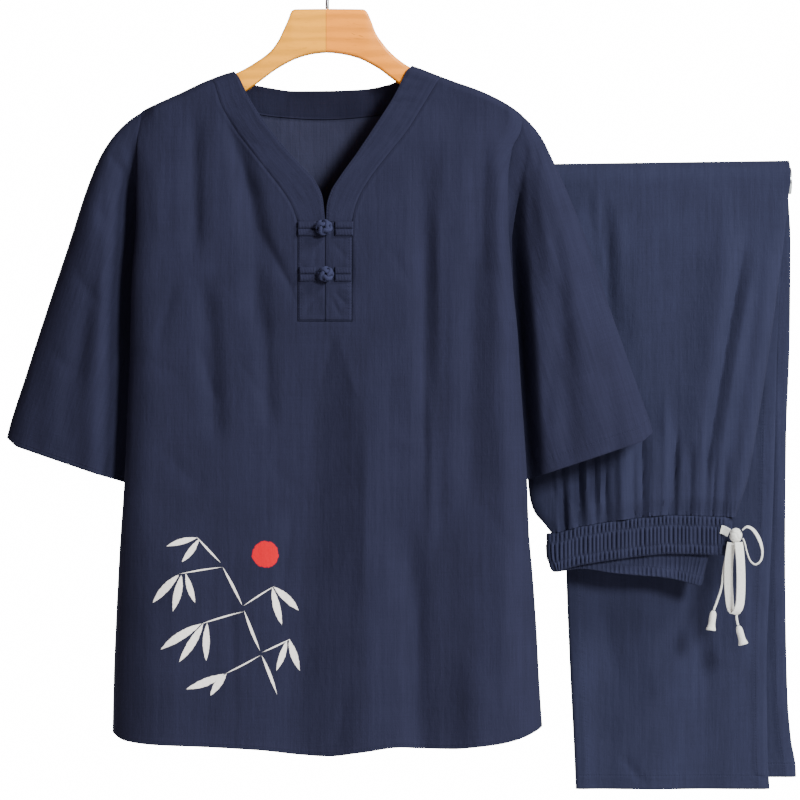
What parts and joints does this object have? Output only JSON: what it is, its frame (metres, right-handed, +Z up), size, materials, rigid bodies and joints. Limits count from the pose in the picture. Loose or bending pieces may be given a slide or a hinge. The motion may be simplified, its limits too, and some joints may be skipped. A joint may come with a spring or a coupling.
{
  "type": "two-piece linen suit on a hanger",
  "caption": "Short-sleeved V-neck linen top with corded frog closings on a wooden hanger, and drawstring trousers folded over a bar beside it.",
  "frame": {"origin": "inside top of the hanger's hook, where it hangs on a rail", "axes": "+Z up along the hanging cloth, +X to the right of someone who faces the front, +Y away from them"},
  "size_m": [0.8238, 0.1619, 0.8761],
  "materials": {
    "linen": "plain-woven slubby linen",
    "linen_band": "doubled linen, stitched along its edges",
    "knot_cord": "rolled linen cord",
    "pale_wood": "satin varnish",
    "amber_wood": "satin varnish",
    "steel": "polished",
    "cotton_tape": "soft flat cotton tape"
  },
  "bodies": {
    "root": {"top_front": "linen", "top_back": "linen", "sleeve_left": "linen", "sleeve_right": "linen", "neckband_left": "linen_band", "neckband_right": "linen_band", "neckband_back": "linen_band", "placket_left": "linen_band", "placket_right": "linen_band", "frog_upper_left": "linen_band", "frog_upper_right": "linen_band", "frog_lower_left": "linen_band", "frog_lower_right": "linen_band", "button_upper": "knot_cord", "button_lower": "knot_cord", "hanger_wood_left": "pale_wood", "hanger_wood_right": "amber_wood", "hanger_hook": "steel", "trouser_rod": "steel", "leg_near_front": "linen", "leg_near_back": "linen", "leg_far_back": "linen", "leg_far_front": "linen", "waistband": "linen_band", "drawstring_exit": "cotton_tape", "drawstring_knot": "cotton_tape", "drawstring_loop_small": "cotton_tape", "drawstring_loop_long": "cotton_tape", "drawstring_tail_left": "cotton_tape", "drawstring_tail_right": "cotton_tape", "drawstring_tip_left": "cotton_tape", "drawstring_tip_right": "cotton_tape"}
  },
  "joints": []
}
